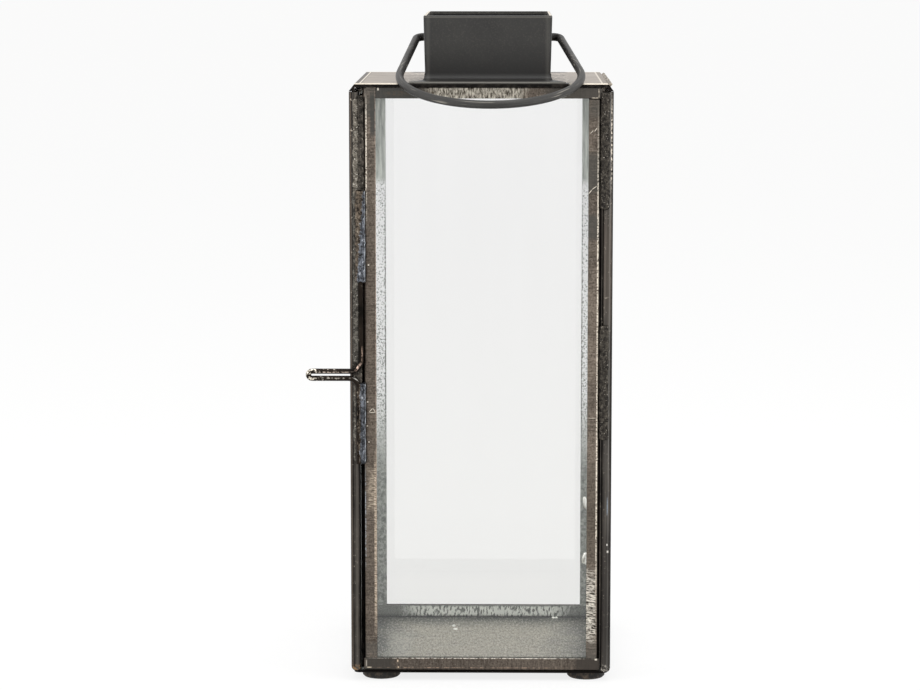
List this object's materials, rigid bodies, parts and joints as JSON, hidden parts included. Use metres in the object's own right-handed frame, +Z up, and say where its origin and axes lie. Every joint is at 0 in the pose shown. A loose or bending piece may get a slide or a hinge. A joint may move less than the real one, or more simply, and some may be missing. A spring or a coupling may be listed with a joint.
{
  "type": "candle lantern",
  "caption": "Tall square candle lantern of framed glass panels with a side door on hinges, a folded sheet roof, an open chimney and a swinging wire bail handle.",
  "frame": {"origin": "on the plane that the feet stand on, in the middle of the body's plan", "axes": "+Z up, -Y towards the front panel, +X to the right seen from the front"},
  "size_m": [0.1518, 0.1732, 0.3323],
  "materials": {
    "brushed_frame": "brushed, worn",
    "dark_frame": "dark, worn satin",
    "worn_roof": "satin, scratched",
    "charcoal_sheet": "satin",
    "worn_wire": "worn",
    "solder": "rough",
    "foot_pads": "satin",
    "clear_glass": "clear"
  },
  "bodies": {
    "body": {"front_left_stile": "brushed_frame", "front_right_stile": "brushed_frame", "front_bottom_rail": "brushed_frame", "front_top_rail": "brushed_frame", "back_right_stile": "brushed_frame", "back_left_stile": "brushed_frame", "back_bottom_rail": "brushed_frame", "back_top_rail": "brushed_frame", "right_front_stile": "dark_frame", "right_back_stile": "dark_frame", "right_bottom_rail": "dark_frame", "right_top_rail": "dark_frame", "front_glass": "clear_glass", "back_glass": "clear_glass", "right_glass": "clear_glass", "base_plate": "dark_frame", "feet": "foot_pads", "roof": "worn_roof", "chimney": "charcoal_sheet", "hinge_leaves_body": "dark_frame", "hinge_pins": "worn_wire", "corner_solder": "solder"},
    "door": {"door_hinge_stile": "dark_frame", "door_front_stile": "dark_frame", "door_bottom_rail": "dark_frame", "door_top_rail": "dark_frame", "door_glass": "clear_glass", "door_pull": "worn_wire", "pull_solder": "solder", "hinge_leaves_door": "dark_frame"},
    "bail": {"bail_handle": "charcoal_sheet"}
  },
  "joints": [
    {"name": "door_hinge", "type": "hinge", "parent": "body", "child": "door", "pos_m": [-0.05898, 0.0662, 0.15], "axis": [0, 0, -1], "range_deg": [0, 110]},
    {"name": "bail_swing", "type": "hinge", "parent": "body", "child": "bail", "pos_m": [0.0031, 0, 0.3203], "axis": [-1, 0, 0], "range_deg": [0, 211]}
  ]
}
